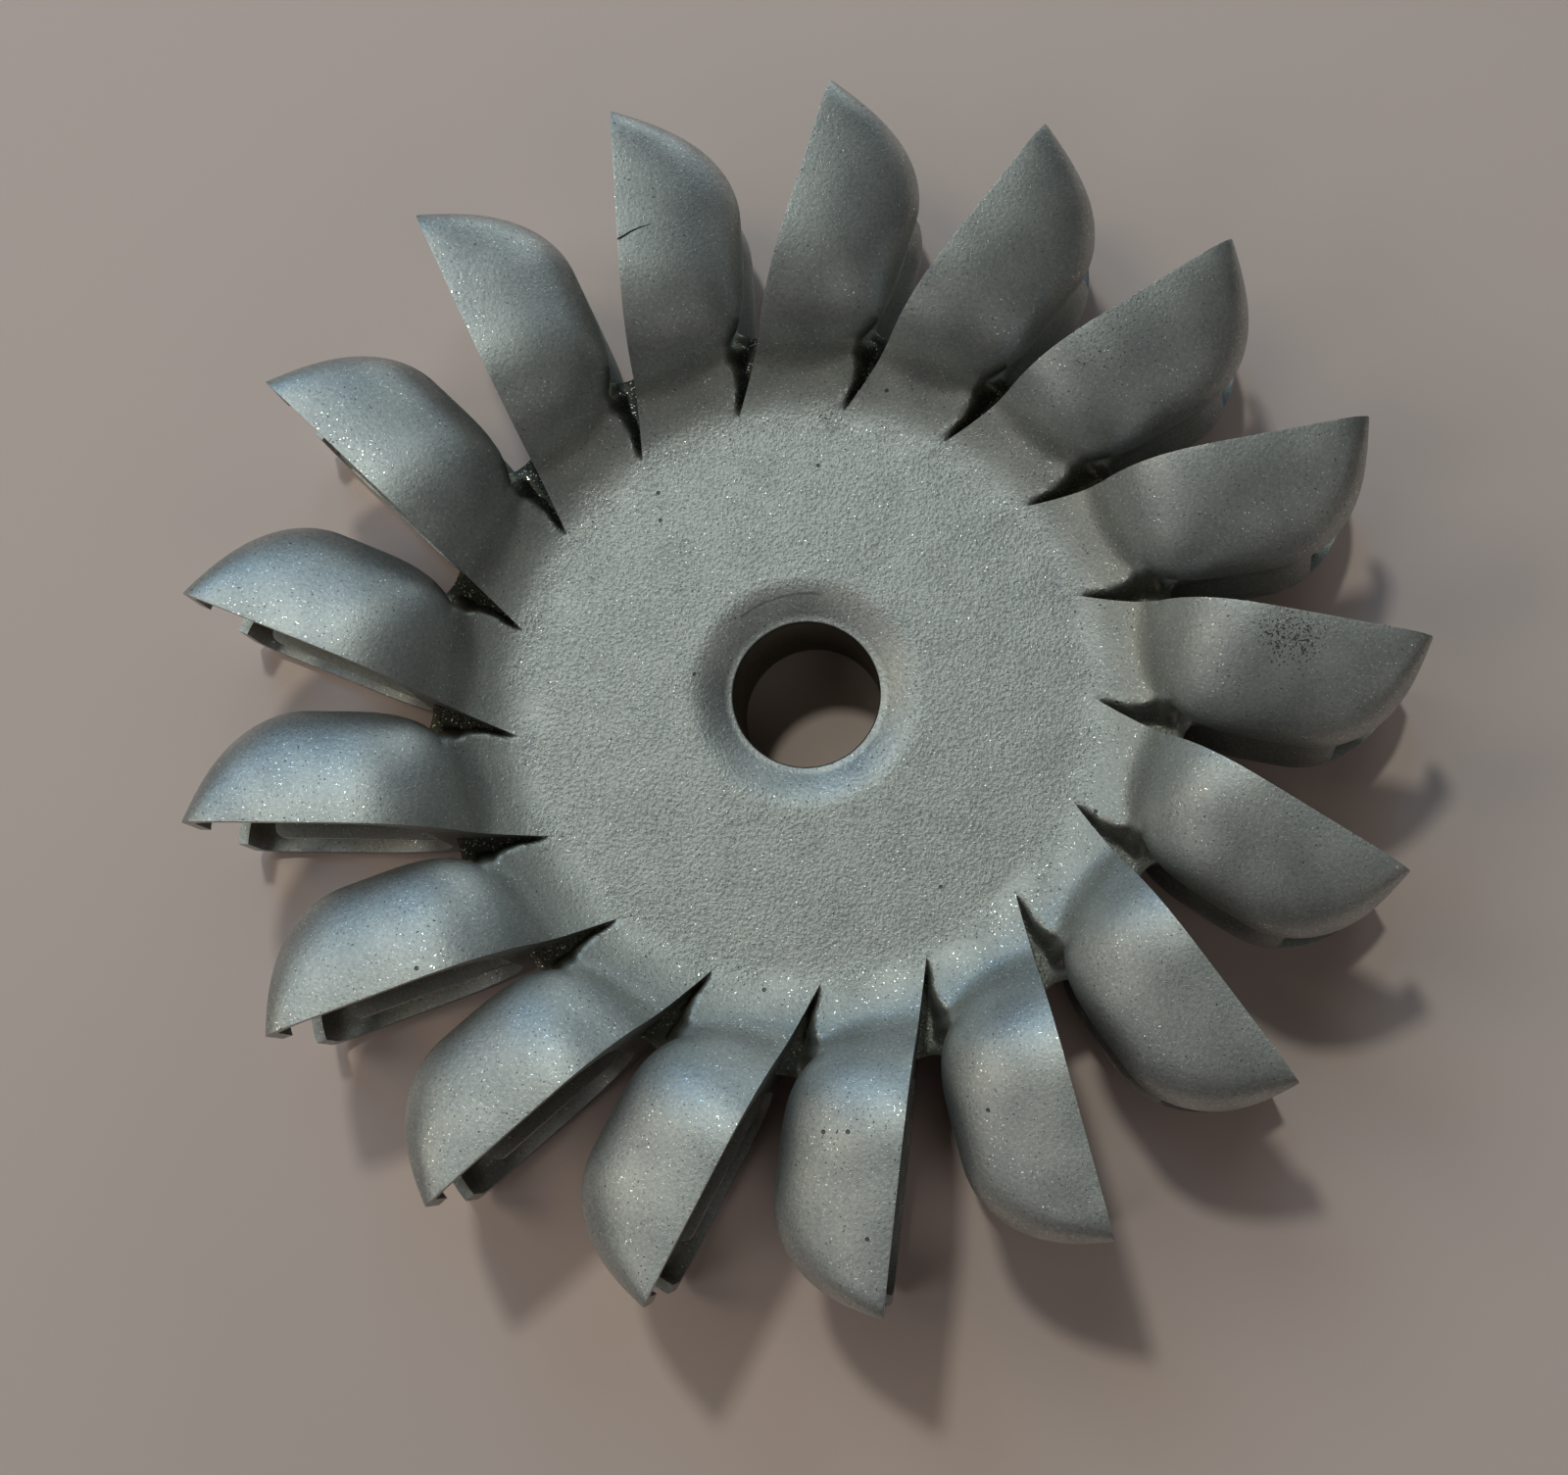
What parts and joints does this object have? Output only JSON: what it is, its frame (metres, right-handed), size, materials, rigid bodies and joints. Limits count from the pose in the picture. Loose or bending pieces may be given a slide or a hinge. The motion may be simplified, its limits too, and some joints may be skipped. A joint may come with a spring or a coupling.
{
  "type": "pelton wheel",
  "caption": "One-piece cast bronze runner for a small impulse water turbine: a hub disc with a dished bore, ringed by thin twin-cup buckets with splitters and notched lips.",
  "frame": {"origin": "on the wheel's axis, on the middle plane of the disc and of the buckets' splitters", "axes": "+Z along the axis, square to the disc's face; +Y along the open face of bucket_01; buckets are numbered clockwise as seen from +Z"},
  "size_m": [0.1292, 0.1294, 0.028],
  "materials": {
    "hub_bronze": "bead-blasted cast bronze, fine sparkling grain",
    "bucket_bronze": "bead-blasted cast bronze, smoother than the hub, with a few pits"
  },
  "bodies": {
    "root": {"hub_disc": "hub_bronze", "hub_boss": "hub_bronze", "bucket_01": "bucket_bronze", "bucket_02": "bucket_bronze", "bucket_03": "bucket_bronze", "bucket_04": "bucket_bronze", "bucket_05": "bucket_bronze", "bucket_06": "bucket_bronze", "bucket_07": "bucket_bronze", "bucket_08": "bucket_bronze", "bucket_09": "bucket_bronze", "bucket_10": "bucket_bronze", "bucket_11": "bucket_bronze", "bucket_12": "bucket_bronze", "bucket_13": "bucket_bronze", "bucket_14": "bucket_bronze", "bucket_15": "bucket_bronze", "bucket_16": "bucket_bronze", "bucket_17": "bucket_bronze"}
  },
  "joints": []
}
